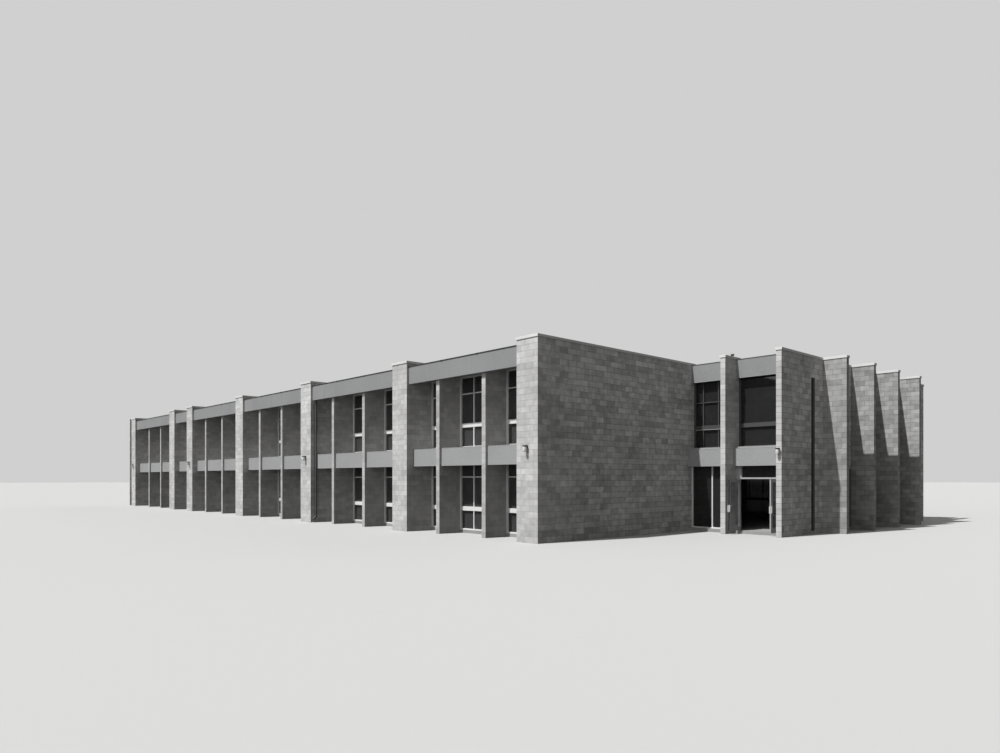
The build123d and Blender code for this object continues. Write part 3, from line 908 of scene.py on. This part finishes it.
# Downpipes: painted pipe from the eaves to an angled shoe near the ground, held to the pier's side
# by straps, with a collar where two lengths meet.
pipe_paint = finish(
    "pipe_paint", (0.060, 0.060, 0.060), (0.095, 0.095, 0.095),
    patches=3.5, grain=110, rough=0.5, relief=0.12,
)
clad(pipe_paint, "downpipes")
pipe_x, pipe_y = 2.679, -5.517
collars = [turned_drum((pipe_x, pipe_y, z), 0.0265, 0.034, 0.003) for z in (2.94, 1.20, 0.26)]
for z in (0.723, 1.296, 1.869, 2.442):
    collars.append(turned_drum((pipe_x, pipe_y, z + 0.010), 0.0245, 0.016, 0.002))
    collars.append(slab_at((2.652, pipe_x), (-5.548, -5.486), (z + 0.003, z + 0.017), 0.002))
pipe_collars = joined("front_pipe_collars", collars)
settle(half_turned(pipe_collars, "rear_pipe_collars"), pipe_paint)
settle(pipe_collars, pipe_paint)


# Roof vent: a galvanised pipe through the core's roof, with a lead skirt dressed round its foot and
# a flat cowl held off its mouth by three stays.
galvanised = finish(
    "galvanised", (0.11, 0.11, 0.112), (0.20, 0.20, 0.202),
    patches=16, grain=200, rough=0.6, relief=0.15, metal=0.5,
)
vent_x, vent_y = 10.404, 0.360
vent = [
    turned_drum((vent_x, vent_y, z), radius, depth, rounding)
    for z, radius, depth, rounding in (
        (3.460, 0.022, 0.590, 0.002), (3.765, 0.040, 0.034, 0.006), (3.600, 0.026, 0.030, 0.003),
        (3.172, 0.060, 0.012, 0.003), (3.195, 0.034, 0.046, 0.010),
    )
]
for dx, dy in ((0.020, 0.0), (-0.010, 0.0173), (-0.010, -0.0173)):
    stay_x = (vent_x + dx - 0.003, vent_x + dx + 0.003)
    stay_y = (vent_y + dy - 0.003, vent_y + dy + 0.003)
    vent.append(slab_at(stay_x, stay_y, (3.700, 3.752), 0.001))
vent = joined("vent_and_cowl", vent)
settle(vent, galvanised, stands_for=["roof_vent"])


# The setting: a plain pale floor, a sun from the front left, soft light from the front and the
# back, and a dim even sky. Floor and sky look pale to the camera but light the building less.
bpy.ops.mesh.primitive_plane_add(size=400, location=(0, 0, 0))
ground = bpy.context.object
ground.name = "ground"
pale = bpy.data.materials.new("pale_floor")
pale.use_nodes = True
nodes, links = pale.node_tree.nodes, pale.node_tree.links
seen = nodes.new("ShaderNodeLightPath")
shade = nodes.new("ShaderNodeMix")
shade.data_type = "RGBA"
as_light, as_seen = shade.inputs[6], shade.inputs[7]
as_light.default_value = (0.08, 0.08, 0.08, 1)
as_seen.default_value = (0.55, 0.55, 0.545, 1)
links.new(seen.outputs["Is Camera Ray"], shade.inputs[0])
links.new(shade.outputs[2], nodes["Principled BSDF"].inputs["Base Color"])
nodes["Principled BSDF"].inputs["Roughness"].default_value = 0.95
ground.data.materials.append(pale)

for name, place, energy, spread, direction in (
    ("sun", (0, 0, 20), 4.0, 0.7, (0.2, 1.0, -1.52)),
    ("front_haze", (0, -20, 6), 0.85, 60, (0.0, 1.0, -0.27)),
    ("rear_fill", (0, 20, 10), 0.55, 60, (0.0, -1.0, -0.5)),
):
    bpy.ops.object.light_add(type="SUN", location=place)
    lamp = bpy.context.object
    lamp.name = name
    lamp.data.energy = energy
    lamp.data.angle = radians(spread)
    lamp.rotation_euler = Vector(direction).to_track_quat("-Z", "Y").to_euler()

world = bpy.data.worlds.new("studio")
bpy.context.scene.world = world
world.use_nodes = True
nodes, links = world.node_tree.nodes, world.node_tree.links
nodes.clear()
seen = nodes.new("ShaderNodeLightPath")
camera_or_gloss = nodes.new("ShaderNodeMath")
camera_or_gloss.operation = "MAXIMUM"
any_seen = nodes.new("ShaderNodeMath")
any_seen.operation = "MAXIMUM"
strength = nodes.new("ShaderNodeMapRange")
strength.inputs["To Min"].default_value = 0.073
strength.inputs["To Max"].default_value = 0.63
sky = nodes.new("ShaderNodeBackground")
sky.inputs["Color"].default_value = (1, 1, 1, 1)
output = nodes.new("ShaderNodeOutputWorld")
links.new(seen.outputs["Is Camera Ray"], camera_or_gloss.inputs[0])
links.new(seen.outputs["Is Glossy Ray"], camera_or_gloss.inputs[1])
links.new(camera_or_gloss.outputs["Value"], any_seen.inputs[0])
links.new(seen.outputs["Is Transmission Ray"], any_seen.inputs[1])
links.new(any_seen.outputs["Value"], strength.inputs["Value"])
links.new(strength.outputs["Result"], sky.inputs["Strength"])
links.new(sky.outputs["Background"], output.inputs["Surface"])
bpy.context.scene.view_settings.view_transform = "Standard"
